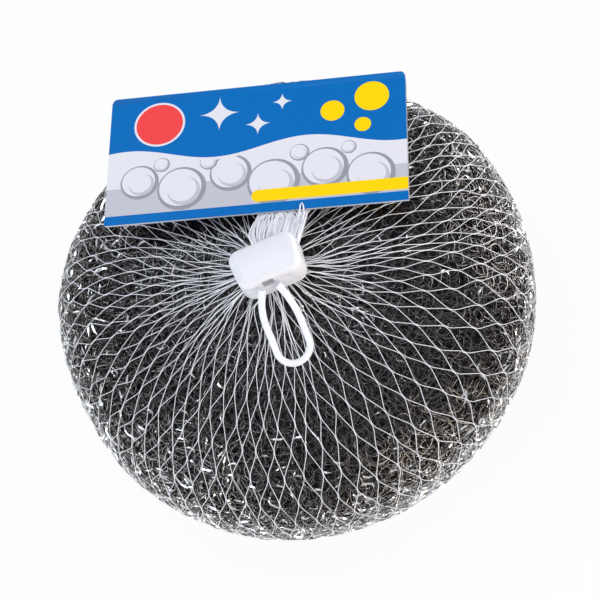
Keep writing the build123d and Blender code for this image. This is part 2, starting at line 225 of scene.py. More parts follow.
def on_outline(azimuth, run, depth=0.0):
    """Points and outward directions at an azimuth from -Y towards +X and a run from the neck along the
    outline, moved inwards by depth. A pressed place takes its depth off the rim's radius, and elsewhere that
    depth times the square of the radius over the rim's."""
    radius = np.interp(run, outline_run, outline_radius)
    height = np.interp(run, outline_run, outline_height)
    pressed = np.interp(azimuth, press_azimuths, press_depths, period=full_turn)
    radius = radius - pressed * (radius / bag_radius) ** 2
    slope_out = np.interp(run, outline_run, outline_slope[:, 0])
    slope_up = np.interp(run, outline_run, outline_slope[:, 1])
    normal = np.stack([-slope_up * np.sin(azimuth), slope_up * np.cos(azimuth), slope_out], -1)
    point = np.stack([radius * np.sin(azimuth), -radius * np.cos(azimuth), height + 0 * azimuth], -1)
    return point - normal * np.expand_dims(depth + 0 * radius, -1), normal


def unit(vectors):
    """The vectors at length one."""
    return vectors / np.linalg.norm(vectors, axis=-1, keepdims=True).clip(1e-12)


ripple_wave_count = 10
ripple_wave_shares = (0.7, 1.5)


def ripple(points, wavelength, seed):
    """Smooth values around zero, mostly from -1 to 1: the sum of plane waves in random directions, whose
    wave numbers lie around that of the wavelength."""
    random = np.random.default_rng(seed)
    directions = unit(random.normal(size=(ripple_wave_count, 3)))
    waves = directions * random.uniform(*ripple_wave_shares, (ripple_wave_count, 1)) * full_turn / wavelength
    phases = random.uniform(0, full_turn, ripple_wave_count)
    return np.sin(points @ waves.T + phases).sum(-1) / math.sqrt(ripple_wave_count)


def carried_profile(path, across, outward, profile, closed):
    """A profile carried along paths: at each point its two coordinates are laid off along the unit vectors
    across and outward. Returns the vertices and the faces, with end caps where a path isn't closed."""
    across_part = across[..., None, :] * profile[..., 0, None]
    outward_part = outward[..., None, :] * profile[..., 1, None]
    points = path[..., None, :] + across_part + outward_part
    count, steps, sides = points.shape[:3]
    index = np.arange(count * steps * sides).reshape(count, steps, sides)
    turned = np.roll(index, -1, axis=2)
    corners = (index, turned, np.roll(turned, -1, axis=1), np.roll(index, -1, axis=1))
    joined = steps if closed else steps - 1
    quads = np.stack([corner[:, :joined] for corner in corners], -1).reshape(-1, 4)
    if closed:
        return points.reshape(-1, 3), [quads]
    return points.reshape(-1, 3), [quads, index[:, 0, ::-1].copy(), index[:, -1].copy()]


def built_piece(name, parts, material, smooth=False):
    """One object from pairs of vertices and lists of face arrays, each array with one face to a row."""
    mesh = bpy.data.meshes.new(name)
    offsets = np.cumsum([0] + [len(points) for points, _ in parts])
    faces = [array + offset for (_, arrays), offset in zip(parts, offsets) for array in arrays]
    sizes = np.concatenate([np.full(len(array), array.shape[1]) for array in faces])
    vertices = np.concatenate([points for points, _ in parts]).astype(np.float32)
    corners = np.concatenate([array.ravel() for array in faces]).astype(np.int32)
    starts = np.concatenate([[0], np.cumsum(sizes)[:-1]]).astype(np.int32)
    mesh.vertices.add(len(vertices))
    mesh.vertices.foreach_set("co", vertices.ravel())
    mesh.loops.add(len(corners))
    mesh.loops.foreach_set("vertex_index", corners)
    mesh.polygons.add(len(sizes))
    mesh.polygons.foreach_set("loop_start", starts)
    mesh.update(calc_edges=True)
    mesh.validate()
    mesh.polygons.foreach_set("use_smooth", np.full(len(mesh.polygons), smooth))
    mesh.materials.append(material)
    piece = bpy.data.objects.new(name, mesh)
    bpy.context.scene.collection.objects.link(piece)
    return piece


def mark_vertices(piece, name, values):
    """Stores one number for each vertex."""
    marks = piece.data.attributes.new(name, "FLOAT", "POINT")
    marks.data.foreach_set("value", values.astype(np.float32).ravel())


# Knitted sleeve. One long tube knitted from flat galvanised wire is rolled over itself, so several layers of
# stitches lie on each other. Flat wire only bends across its thickness, so the ribbon stands on edge in the
# fabric: thin lines from above, and broad bands where the ball turns away, bright from their faces and from a
# painted highlight.
wire_width = 0.5 * mm
wire_thickness = 0.09 * mm
stitch_width = 6.6 * mm
stitch_rise = 4.0 * mm
course_spacing = 2.4 * mm
stitch_belly_share = 0.24
stitch_weave = 0.25 * mm
stitch_curl = 0.3 * mm
stitch_points = 20
least_stitches = 6
wire_least_depth = 0.3 * mm
# Painted light in the wire's colour: a painted shade towards the feet of each stitch, a random tone for each
# stitch, and a painted highlight on the ribbon's inner edge at the rim.
head_light_share = 0.2
stitch_light_shares = (0.6, 1.0)
rim_edge_painted_light_share = 0.8

# How far the rim, where loops of wire stand out of the fabric, reaches up and down from the widest ring, by
# azimuth; there the wire's colour is also lifted as a painted highlight. Then the layers of the knit: how
# deep each lies, and how much light gets down to it, painted into its colour as painted shade.
rim_run = whole_run / 2
rim_azimuths = np.radians([-150, -113, -84, -50, 0, 36, 67, 110, 150])
rim_reaches = np.array([26, 27, 20, 15, 14, 12, 14, 24, 26]) * mm
layer_depths = (1.1 * mm, 1.9 * mm, 2.7 * mm)
layer_light_shares = (0.6, 0.42, 0.28)
layer_seeds = 1000

# Unevenness of a worn-in knit: all the stitches of a layer wander and bulge together, each course waves by
# itself, and the wire tilts. A glint is a short piece turned flat side out and coloured at the brightest
# tone, a painted highlight, which happens most at the rim and in a few places where the knit was pulled
# about.
wander_wavelength = 12 * mm
wander_reach = 0.9 * mm
wander_least_radius = 8 * mm
bulge_reach = 0.25 * mm
own_wavelength = 7 * mm
own_reach = 0.2 * mm
rim_own_reach = 0.75 * mm
tilt_reach = math.radians(8)
tilt_wavelength = 2.2 * stitch_width
rim_sway = 2.5
glint_tilt = math.radians(55)
glint_share = 0.008
rim_glint_share = 0.12
glint_points = 2
glint_clusters = (
    (math.radians(40), 18 * mm, 6 * mm, 0.3),
    (math.radians(-40), 62 * mm, 22 * mm, 0.09),
    (math.radians(10), 72 * mm, 18 * mm, 0.08),
    (math.radians(-85), 66 * mm, 15 * mm, 0.06),
)


def rim_share(azimuth, run):
    """How much a place belongs to the rim, where the loops stand out of the fabric: one at the widest ring,
    falling off over a reach that depends on the azimuth."""
    reach = np.interp(azimuth, rim_azimuths, rim_reaches, period=full_turn)
    return np.exp(-(((run - rim_run) / reach) ** 2))


def stitch_course(run, depth, seed):
    """Path, width directions, thickness directions, glints, light and rim shares of one course of stitches
    round the ball. Across, the wire sways about its even advance twice a stitch; along the meridian it is a
    cosine; in depth it goes over and under once a half stitch, and the heads curl outwards. Smooth random
    fields then wander, bulge and tilt it. The numbers added to a seed keep its draws apart."""
    radius = float(np.interp(run, outline_run, outline_radius))
    stitches = max(int(full_turn * radius / stitch_width), least_stitches)
    phase = np.arange(stitches * stitch_points) * full_turn / stitch_points
    start = np.random.default_rng(seed).uniform(0, full_turn)
    advance = phase / full_turn + stitch_belly_share * np.sin(2 * phase)
    azimuth = start + advance * full_turn / stitches
    runs = run + stitch_rise * np.cos(phase)
    field = seed // layer_seeds
    rough, _ = on_outline(azimuth, runs.clip(0, whole_run), depth)
    wander = ripple(rough, wander_wavelength, field) * wander_reach
    azimuth = azimuth + wander / max(radius, wander_least_radius)
    runs = (runs + ripple(rough, wander_wavelength, field + 50) * wander_reach).clip(0, whole_run)
    rim = rim_share(azimuth, runs)
    weave = -stitch_weave * np.cos(2 * phase) - stitch_curl * (1 + rim) * np.cos(phase)
    bulge = bulge_reach * ripple(rough, wander_wavelength, field + 90)
    bulge = bulge + (own_reach + (rim_own_reach - own_reach) * rim) * ripple(rough, own_wavelength, seed)
    points, normals = on_outline(azimuth, runs, (depth + weave + bulge).clip(wire_least_depth))
    points[:, 2] = points[:, 2].clip(wire_width)
    tangent = unit(np.roll(points, -1, axis=0) - np.roll(points, 1, axis=0))
    standing = unit(normals - tangent * (normals * tangent).sum(-1, keepdims=True))
    beside = np.cross(tangent, standing)
    chance = glint_share + rim_glint_share * rim
    for cluster_azimuth, cluster_run, reach, share in glint_clusters:
        centre, _ = on_outline(np.array(cluster_azimuth), np.array(cluster_run))
        chance = chance + share * np.exp(-((np.linalg.norm(points - centre, axis=-1) / reach) ** 2))
    draws = np.random.default_rng(seed + 3).random(len(points) // glint_points + 1)
    glint = (np.repeat(draws, glint_points)[:len(points)] < chance)[:, None]
    sway = ripple(points, tilt_wavelength, field + 130)
    sway = sway + rim_sway * rim * ripple(points, own_wavelength, seed + 5)
    tilt = tilt_reach * sway[:, None] + glint_tilt * glint
    across = standing * np.cos(tilt) + beside * np.sin(tilt)
    outward = beside * np.cos(tilt) - standing * np.sin(tilt)
    stitch_light = np.random.default_rng(seed + 7).uniform(*stitch_light_shares, stitches)
    # Painted shade along each stitch: its head is lightest and its feet darker, times a random tone for each
    # stitch.
    light = (1 - head_light_share + head_light_share * np.cos(phase)) * np.repeat(stitch_light, stitch_points)
    return points, across, outward, glint[:, 0], light, rim


wire_profile = np.array([
    (wire_width / 2, -wire_thickness / 2),
    (wire_width / 2, wire_thickness / 2),
    (-wire_width / 2, 0),
])
edge_light_shares = np.array([1.0, 1.0, 0.2])


def stitched_layer(name, depth, light, first_run, last_run, seed, material):
    """One layer of the knit: courses of stitches at even runs, each a closed ribbon. Its tone is painted
    light:
    painted shade falls from the edge that stands outwards to the edge that lies in the shade between the
    stitches and darkens the deeper layers, and a painted highlight lifts the rim and the glints."""
    parts = []
    tones_with_painted_light = []
    for number, run in enumerate(np.arange(first_run, last_run, course_spacing)):
        course_seed = seed * layer_seeds + number
        points, across, outward, glint, stitch_tone_and_painted_light, rim = stitch_course(run, depth, course_seed)
        parts.append(carried_profile(points[None], across[None], outward[None], wire_profile, True))
        # Painted shade across the ribbon: its inner edge is darker, and the rim lifts it as a painted
        # highlight.
        shade = edge_light_shares[None] + (1 - edge_light_shares)[None] * rim_edge_painted_light_share * rim[:, None]
        # At the rim the stitch's tone is lifted towards white: a painted highlight.
        stitch_tone_and_painted_light = stitch_tone_and_painted_light + (1 - stitch_tone_and_painted_light) * rim
        # The layer's light darkens the deeper layers as painted shade, and the rim lifts it as a painted
        # highlight.
        tone_with_painted_light = stitch_tone_and_painted_light[:, None] * shade * (light + (1 - light) * rim)[:, None]
        # A glint takes the brightest tone: a painted highlight.
        tones_with_painted_light.append(np.maximum(tone_with_painted_light, glint[:, None]).ravel())
    layer = built_piece(name, parts, material)
    mark_vertices(layer, "zinc_tone_with_painted_light", np.concatenate(tones_with_painted_light))
    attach(layer, "scrubber")
    return layer


# Galvanised flat wire, rolled, with painted light in its colour: painted highlights make it bright where its
# edge stands out of the fabric and at the glints, and painted shade makes it dull and dark in its depth.
# The zinc is blotched over a few millimetres, so the wire glitters unevenly.
blotch_size = 4.545 * mm
zinc_with_painted_light, tree = new_material("galvanised_flat_wire_with_painted_light")
tone_with_painted_light = add_node(tree, "Attribute", attribute_name="zinc_tone_with_painted_light")
spot = add_node(tree, "TexCoord")
blotch = add_node(tree, "TexNoise", {
    "Vector": spot.outputs["Object"],
    "Scale": 1 / blotch_size,
    "Detail": 3.0,
})
zinc_colour_with_painted_light = add_node(tree, "ValToRGB", {"Fac": tone_with_painted_light.outputs["Fac"]})
zinc_colour_with_painted_light.color_ramp.elements[0].position = 0.04
zinc_colour_with_painted_light.color_ramp.elements[0].color = hex_colour("272324")
zinc_colour_with_painted_light.color_ramp.elements[1].position = 0.55
zinc_colour_with_painted_light.color_ramp.elements[1].color = hex_colour("a09b98")
zinc_colour_with_painted_light.color_ramp.elements.new(1.0).color = hex_colour("fafafa")
dullness = add_node(tree, "MapRange", {"Value": blotch.outputs["Fac"], "To Min": 0.14, "To Max": 0.3})
metal = add_node(tree, "BsdfPrincipled", {
    "Base Color": zinc_colour_with_painted_light.outputs["Color"],
    "Metallic": 1.0,
    "Roughness": dullness.outputs["Result"],
})
add_node(tree, "OutputMaterial", {"Surface": metal.outputs["BSDF"]})

# Under the widest ring two layers are enough, because nothing looks into the third from there.
first_course = 5 * mm
last_course = whole_run - first_course
middle_course = first_course + course_spacing * round(rim_run / course_spacing)
layer_names = ("knit_outer", "knit_second", "knit_third")
top_seed = 11
foot_seed = 21
foot_layer_count = 2
for number, (name, depth, light) in enumerate(zip(layer_names, layer_depths, layer_light_shares)):
    seed = top_seed + number
    stitched_layer(name + "_top", depth, light, first_course, middle_course, seed, zinc_with_painted_light)
    if number < foot_layer_count:
        seed = foot_seed + number
        stitched_layer(name + "_foot", depth, light, middle_course, last_course, seed, zinc_with_painted_light)
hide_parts("sleeve_outer_turn")

# Deep knit. Below the third layer the stitches are too dark to tell apart, so one closed surface with the
# curls drawn on it stands for the rest of the outer turn.
deep_depth = 3.5 * mm
deep_rim_depth = 1.5 * mm
deep_swell = 0.5 * mm
deep_swell_wavelength = 8 * mm
deep_azimuth_count = 240
deep_run_count = 160
deep_azimuth, deep_run = np.meshgrid(
    np.linspace(0, full_turn, deep_azimuth_count, endpoint=False),
    np.linspace(0, whole_run, deep_run_count),
)
deep_rim = rim_share(deep_azimuth, deep_run)
deep_points, deep_normals = on_outline(deep_azimuth, deep_run, deep_depth + deep_rim_depth * deep_rim)
deep_points += deep_normals * ripple(deep_points, deep_swell_wavelength, 5)[..., None] * deep_swell
deep_index = np.arange(deep_points.shape[0] * deep_points.shape[1]).reshape(deep_points.shape[:2])
deep_beside = np.roll(deep_index, -1, axis=1)
deep_quads = np.stack([deep_index[:-1], deep_index[1:], deep_beside[1:], deep_beside[:-1]], -1).reshape(-1, 4)

# Galvanised wire in shade: nearly black, with faint grey lines as far apart as a stitch's curls.
curl_size = 2.381 * mm
deep_zinc, tree = new_material("galvanised_wire_in_shade")
spot = add_node(tree, "TexCoord")
curls = add_node(tree, "TexVoronoi", {
    "Vector": spot.outputs["Object"],
    "Scale": 1 / curl_size,
}, feature="DISTANCE_TO_EDGE")
curl_colour = add_node(tree, "ValToRGB", {"Fac": curls.outputs["Distance"]})
curl_colour.color_ramp.elements[0].position = 0.02
curl_colour.color_ramp.elements[0].color = hex_colour("4a4a52")
curl_colour.color_ramp.elements[1].position = 0.12
curl_colour.color_ramp.elements[1].color = hex_colour("1c1c21")
shade = add_node(tree, "BsdfPrincipled", {
    "Base Color": curl_colour.outputs["Color"],
    "Metallic": 0.5,
    "Roughness": 0.6,
})
add_node(tree, "OutputMaterial", {"Surface": shade.outputs["BSDF"]})
deep_knit = built_piece(
    "knit_deep",
    [(deep_points.reshape(-1, 3), [deep_quads, deep_index[:1].copy(), deep_index[-1:, ::-1].copy()])],
    deep_zinc,
    True,
)
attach(deep_knit, "scrubber")

# Net bag. Strands of polyethylene extruded together touch in turn on their left and on their right, where
# they are fused over a short length. The net is drawn over the ball with its diamonds long from neck to weld.
cells_around = 68
row_run = 7.3 * mm
strand_thickness = 0.19 * mm
strand_gap = 0.17 * mm
strand_profile_sides = 5
joint_share = 0.28
bend_share = 0.1
half_sway = 0.25
strand_depth = 0.3 * mm
rim_rise = 0.1 * mm
crossing_depth = 0.1 * mm
pile_height = 0.35 * mm
pile_run = 30 * mm
pile_waves = 3
pile_wavelength = 1.2
row_count = int(round(whole_run / row_run))

# How the net lies on the ball, by azimuth: the width of its cells against their mean, how far each row has
# slipped round against the row above, and how far the joints lean. Then the places where strands have run
# together, how far the joints stray from their even places, and how far the net stands off below the neck.
pitch_azimuths = np.radians([-180, -130, -90, -50, -10, 25, 75, 100, 125, 150])
pitch_shares = np.array([1.25, 0.82, 0.93, 0.9, 1.0, 1.22, 0.95, 0.72, 0.72, 1.2])
slip_azimuths = np.radians([-180, -150, -130, -90, -50, -10, 35, 75, 110, 150])
slip_angles = np.radians([-0.8, -1.6, -1.75, 2.0, 1.85, 0.0, -0.85, 0.75, -0.4, -0.2])
lean_azimuths = np.radians([-150, -113, -84, -56, -26, 30, 67, 85, 110, 150])
lean_shares = np.array([0.3, 0.7, 0.7, 0.35, 0.1, 0.0, -0.1, -0.3, 0.0, 0.0])
slip_from_row = 5.5
slip_fade_rows = 12.0
bunch_reach = 24 * mm
bunch_share = 0.8
bunch_swing_share = 0.35
bunch_swing_start = 2.4
bunches = ((5, 0.4, 1.3), (11, 0.45, 0.4), (17, 0.3, 2.2))
gathers = (
    (math.radians(-113), 19 * mm, math.radians(9), 5 * mm, 0.6),
    (math.radians(76), 10 * mm, math.radians(15), 48 * mm, 0.62),
    (math.radians(20), 9 * mm, math.radians(14), 6 * mm, 0.5),
)
stray_cells = 1.2
stray_rows = 1.2
loose_cells = 0.07
loose_run = 0.3 * mm
net_lift = 1.0 * mm
lift_run = 8 * mm
lift_reach = 5 * mm
pitch_step_count = 721
even_steps = np.linspace(-math.pi, math.pi, pitch_step_count)
pitch_steps = np.interp(even_steps, pitch_azimuths, pitch_shares, period=full_turn)
lattice_steps = (1 / pitch_steps[1:] + 1 / pitch_steps[:-1]) / 2
lattice_steps = np.concatenate([[0], np.cumsum(lattice_steps)])
lattice_steps *= cells_around / lattice_steps[-1]


def net_azimuth(lattice, row, runs):
    """Azimuth of a place in the net, from its place around in cells, its row and its run from the neck: the
    azimuth by the cells' widths, turned by the slip of the rows, drawn towards each gather, and swayed by a
    sum of sines that dies away from the neck."""
    whole_cells = np.floor(lattice / cells_around)
    azimuth = np.interp(lattice - whole_cells * cells_around, lattice_steps, even_steps)
    slip = np.interp(azimuth, slip_azimuths, slip_angles, period=full_turn)
    rows = slip_fade_rows * (np.tanh(row / slip_fade_rows) - math.tanh(slip_from_row / slip_fade_rows))
    azimuth = azimuth + slip * rows
    for centre, centre_run, half_width, half_run, pull in gathers:
        away = (azimuth - centre + math.pi) % full_turn - math.pi
        near = np.exp(-((away / half_width) ** 2) - ((runs - centre_run) / half_run) ** 2)
        azimuth = azimuth - pull * away * near
    swing = bunch_share + bunch_swing_share * np.sin(azimuth + bunch_swing_start)
    strength = swing * np.exp(-((runs / bunch_reach) ** 2))
    pull = sum(share * np.sin(waves * azimuth + phase) / waves for waves, share, phase in bunches)
    return azimuth - strength * pull


net_random = np.random.default_rng(40)
joint_rows = np.arange(row_count + 2)[:, None]
stray = stray_cells * np.exp(-((joint_rows / stray_rows) ** 2)) + loose_cells
joint_shifts = net_random.normal(size=(row_count + 2, cells_around)) * stray
joint_slides = net_random.normal(size=(row_count + 2, cells_around)) * loose_run


def at_joints(table, family, rows):
    """A value given for each joint, followed along each strand of a family: straight from joint to joint.
    The strands of the left family reach the joint of the next strand at every other row."""
    strand = np.arange(cells_around)[:, None]
    before = np.floor(rows).astype(int)
    after = before + 1
    skipped = 1 if family < 0 else 0
    first = table[before, (strand - skipped * (before % 2)) % cells_around]
    second = table[after, (strand - skipped * (after % 2)) % cells_around]
    return first + (second - first) * (rows - before)


def net_strands(family):
    """Paths of one family of strands. A strand runs straight from a joint with its left neighbour to one
    with its right neighbour and back, with a soft bend at each end of a joint. On the left of the ball the
    joints lean towards the strands that slope with the net, and on the right towards the others."""
    joint = np.arange(row_count + 1)
    offsets = np.array([-bend_share, 0, bend_share]) - joint_share / 2
    offsets = np.concatenate([offsets, -offsets[::-1]])
    rows = (joint[:, None] + offsets[None]).ravel()
    centre = half_sway - half_sway * np.cos(math.pi * joint)
    side = np.cos(math.pi * joint)
    corner = np.array([-1, 1]) * joint_share / 2
    corner_rows = (joint[:, None] + corner[None]).ravel()
    corner_sway = np.repeat(family * centre, 2)
    corner_lean = np.tile(corner / 2, row_count + 1)
    corner_side = np.repeat(family * side, 2)
    softened = ((-bend_share, 0.25), (0, 0.5), (bend_share, 0.25))
    sway = sum(share * np.interp(rows + step, corner_rows, corner_sway) for step, share in softened)
    leaning = sum(share * np.interp(rows + step, corner_rows, corner_lean) for step, share in softened)
    near = np.interp(rows, corner_rows, corner_side)
    inside = (rows > 0) & (rows < row_count)
    rows, sway, leaning, near = rows[inside], sway[inside], leaning[inside], near[inside]
    runs = rows * whole_run / row_count
    radius = np.interp(runs, outline_run, outline_radius)
    apart = strand_gap / 2 / (full_turn * radius / cells_around)
    lattice = np.arange(cells_around)[:, None] + (sway + apart * near)[None]
    lean = np.interp(net_azimuth(lattice, rows[None], runs), lean_azimuths, lean_shares, period=full_turn)
    lattice = lattice + lean * leaning[None]
    lattice = lattice + at_joints(joint_shifts, family, rows)
    runs = (runs[None] + at_joints(joint_slides, family, rows)).clip(0, whole_run)
    azimuth = net_azimuth(lattice, rows[None], runs)
    rise = np.sin(math.pi * runs / whole_run)
    pile_place = np.stack([azimuth * pile_waves + family, runs / pile_run, lattice * 0], -1)
    pile = ripple(pile_place, pile_wavelength, 7)
    depth = strand_depth - rim_rise * rise + crossing_depth * family * (1 - abs(near))[None]
    depth = depth + pile_height * pile * np.exp(-((runs / bunch_reach) ** 2))
    depth = depth - net_lift * np.exp(-(((runs - lift_run) / lift_reach) ** 2))
    return on_outline(azimuth, runs, depth)


def round_profile(sides, radius):
    """Points of a circle."""
    angles = np.arange(sides) * full_turn / sides
    return np.stack([np.cos(angles), np.sin(angles)], -1) * radius


def strand_frames(points, normals):
    """Unit vectors across each strand and away from the surface."""
    tangent = unit(np.gradient(points, axis=-2))
    outward = unit(normals - tangent * (normals * tangent).sum(-1, keepdims=True))
    return np.cross(tangent, outward), outward


# White polyethylene, extruded and drawn: satin and milky, whiter in some lengths of a strand than in others.
milky_size = 11.11 * mm
net_plastic, tree = new_material("extruded_polyethylene")
spot = add_node(tree, "TexCoord")
milky = add_node(tree, "TexNoise", {"Vector": spot.outputs["Object"], "Scale": 1 / milky_size, "Detail": 2.0})
net_colour = add_node(tree, "ValToRGB", {"Fac": milky.outputs["Fac"]})
net_colour.color_ramp.elements[0].position = 0.3
net_colour.color_ramp.elements[0].color = hex_colour("ecebf2")
net_colour.color_ramp.elements[1].position = 0.75
net_colour.color_ramp.elements[1].color = hex_colour("fbfafd")
strand_skin = add_node(tree, "BsdfPrincipled", {
    "Base Color": net_colour.outputs["Color"],
    "Roughness": 0.38,
    "IOR": 1.51,
})
add_node(tree, "OutputMaterial", {"Surface": strand_skin.outputs["BSDF"]})

for family, net_name in ((1, "net_strands_right"), (-1, "net_strands_left")):
    points, normals = net_strands(family)
    across, outward = strand_frames(points, normals)
    profile = round_profile(strand_profile_sides, strand_thickness / 2)
    net = built_piece(net_name, [carried_profile(points, across, outward, profile, False)], net_plastic, True)
    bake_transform(net)
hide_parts("net_bag")

# Bottom weld. The net's lower end is melted into a flat button of polyethylene. It keeps the shape that it is
# packed with, as other pieces below do, and only its finish is made here.
sharp_angle = math.radians(35)
merge_distance = 0.002 * mm
uneven_size = 3.333 * mm
uneven_height = 0.2 * mm
uneven_share = 0.05
scatter_depth = 1.2 * mm


def smooth_copy(node, body, material):
    """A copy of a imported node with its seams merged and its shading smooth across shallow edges."""
    mesh = frame["nodes"][node].data.copy()
    bm = bmesh.new()
    bm.from_mesh(mesh)
    bmesh.ops.remove_doubles(bm, verts=bm.verts, dist=merge_distance)
    bm.to_mesh(mesh)
    bm.free()
    mesh.polygons.foreach_set("use_smooth", np.full(len(mesh.polygons), True))
    mesh.set_sharp_from_angle(angle=sharp_angle)
    mesh.materials.clear()
    mesh.materials.append(material)
    piece = bpy.data.objects.new(node + "_piece", mesh)
    bpy.context.scene.collection.objects.link(piece)
    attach(piece, body)
    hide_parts(node)
    return piece


def plastic(name, colour, roughness, scatter_share):
    """A polyethylene part: even colour, light scattered under the skin, and a fine unevenness."""
    material, tree = new_material(name)
    spot = add_node(tree, "TexCoord")
    uneven = add_node(tree, "TexNoise", {
        "Vector": spot.outputs["Object"],
        "Scale": 1 / uneven_size,
        "Detail": 2.0,
    })
    bump = add_node(tree, "Bump", {
        "Height": uneven.outputs["Fac"],
        "Strength": uneven_share,
        "Distance": uneven_height,
    })
    skin = add_node(tree, "BsdfPrincipled", {
        "Base Color": hex_colour(colour),
        "Roughness": roughness,
        "IOR": 1.51,
        "Subsurface Weight": scatter_share,
        "Subsurface Radius": (1.0, 1.0, 1.1),
        "Subsurface Scale": scatter_depth,
        "Normal": bump.outputs["Normal"],
    })
    add_node(tree, "OutputMaterial", {"Surface": skin.outputs["BSDF"]})
    return material


# Polyethylene melted and set again: smoother and greyer than the strands.
melted = plastic("melted_polyethylene", "cfccd6", 0.3, 0.2)
smooth_copy("bottom_weld", "scrubber", melted)

# Clip. A small box moulded in natural polyethylene, closed on the gathered net, with a toothed wedge pressed
# in from the front that bites the strands. The box is milky and semi-gloss, and light creeps round its
# corners. The wedge is coloured greyer as painted shade for the shade of its slot, and it is duller.
moulded = plastic("moulded_polyethylene", "e9e8ed", 0.36, 0.5)
smooth_copy("clip_housing", "clip", moulded)
# Painted shade: the wedge's grey stands for the shade of its slot.
wedge_plastic_in_painted_shade = plastic("moulded_polyethylene_in_painted_slot_shade", "a9a8ae", 0.45, 0.2)
smooth_copy("lock_wedge", "clip", wedge_plastic_in_painted_shade)

# Hang loop. One moulded strand of polyethylene, rooted in the clip's front: the legs spread, run side by side
# and close in a half circle. It is a little flattened where it came out of the mould, and its roots swell.
pivots = {joint["name"]: np.array(joint["pos_m"]) for joint in frame["joints"]}
loop_pivot = pivots["loop_swing"]
clip_yaw = math.radians(-2.5)
loop_droop = math.radians(22)
loop_lean = math.radians(-2.5)
loop_half_width = 4.35 * mm
loop_root_half_gap = 2.1 * mm
loop_spread_length = 9.5 * mm
loop_length = 20.1 * mm
loop_strand = 1.8 * mm
loop_side_count = 16
loop_flat_share = 0.88
loop_wobble = 0.12 * mm
loop_wobble_length = 3.1 * mm
root_swell_share = 0.12
root_swell_length = 1.6 * mm
leg_point_count = 24
bend_point_count = 25
leg_steps = np.linspace(0, 1, leg_point_count)
spread_share = leg_steps * (loop_length - loop_half_width) / loop_spread_length
leg_x = loop_half_width - (loop_half_width - loop_root_half_gap) * (1 - spread_share).clip(0) ** 2
leg_y = -leg_steps * (loop_length - loop_half_width)
bend_angles = np.linspace(0, math.pi, bend_point_count)[1:-1]
bend_x = loop_half_width * np.cos(bend_angles)
bend_y = loop_half_width - loop_length - loop_half_width * np.sin(bend_angles)
loop_x = np.concatenate([leg_x, bend_x, -leg_x[::-1]])
loop_y = np.concatenate([leg_y, bend_y, leg_y[::-1]])
loop_path = np.stack([loop_x, loop_y, 0 * loop_x], -1)
loop_path[:, 0] += loop_wobble * np.sin(loop_y / loop_wobble_length)
swell = 1 + root_swell_share * np.exp(loop_y / root_swell_length)
loop_tangent = unit(np.gradient(loop_path, axis=0))
loop_out = np.broadcast_to(np.array([0.0, 0.0, 1.0]), loop_path.shape)
loop_side = np.cross(loop_tangent, loop_out)
loop_profile = round_profile(loop_side_count, loop_strand / 2) * np.array([1, loop_flat_share])
loop_points, loop_faces = carried_profile(
    loop_path[None],
    loop_side[None] * swell[None, :, None],
    loop_out[None] * swell[None, :, None],
    loop_profile,
    False,
)
droop_turn = Matrix.Rotation(loop_droop, 3, "X") @ Matrix.Rotation(loop_lean, 3, "Z")
loop_turn = np.array(Matrix.Rotation(clip_yaw, 3, "Z") @ droop_turn)
loop_points = loop_points @ loop_turn.T + loop_pivot

# Moulded polyethylene in a thin strand: whiter than the clip, because more light gets through it.
loop_plastic = plastic("moulded_polyethylene_strand", "eeedf1", 0.34, 0.4)
hang_loop = built_piece("hang_loop_strand", [(loop_points, loop_faces)], loop_plastic, True)
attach(hang_loop, "loop")
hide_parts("hang_loop")

# Neck of the net. The polyethylene strands are gathered under the clip and go up into its channel, twisting a
# little from one height to the next.
neck_strand_count = 46
neck_strand_radius = 0.24 * mm
neck_twist_step = 0.25
neck_heights = np.array([-0.6, 0.2, 1.0, 2.2, 4.0]) * mm + net_high.z
neck_radii = np.array([4.0, 3.75, 3.5, 3.3, 3.2]) * mm
thin_strand_sides = 6
neck_starts = np.arange(neck_strand_count)[:, None] * full_turn / neck_strand_count
neck_turns = neck_starts + neck_twist_step * np.arange(len(neck_heights))[None]
neck_paths = np.stack([
    neck_radii[None] * np.sin(neck_turns),
    -neck_radii[None] * np.cos(neck_turns),
    np.broadcast_to(neck_heights, neck_turns.shape),
], -1)
neck_normals = unit(neck_paths * np.array([1.0, 1.0, 0.0]))
neck_across, neck_out = strand_frames(neck_paths, neck_normals)
neck_profile = round_profile(thin_strand_sides, neck_strand_radius)
neck_part = carried_profile(neck_paths, neck_across, neck_out, neck_profile, False)
net_neck = built_piece("net_neck_strands", [neck_part], net_plastic, True)
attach(net_neck, "clip")
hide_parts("net_neck")

# Tail of the net. The cut strands leave the clip at its rear, spread a little and run in between the leaves
# of the card, where they are glued. One strand has sprung out over the card's edge.
card_yaw = math.radians(-21.25)
card_pitch = math.radians(-14.9)
card_shift = np.array([-5.9, 6.97, -3.13]) * mm
board_fold = 1.05 * mm
header_turn = np.array(Matrix.Rotation(card_yaw, 3, "Z"))
card_turn = header_turn @ np.array(Matrix.Rotation(card_pitch, 3, "X"))
header_pivot = pivots["card_flap"]
card_origin = header_pivot + header_turn @ card_shift
tail_strand_count = 84
tail_strand_radius = 0.19 * mm
tail_crowding = 1.4
tail_mix_share = 0.35
tail_step_count = 21
tail_sway = 0.3 * mm
tail_sway_wavelength = 9
tail_sway_spread = 30
tail_root_reach = 4 * mm
tail_mouth_reach = 2 * mm
tail_glued_reach = 16 * mm

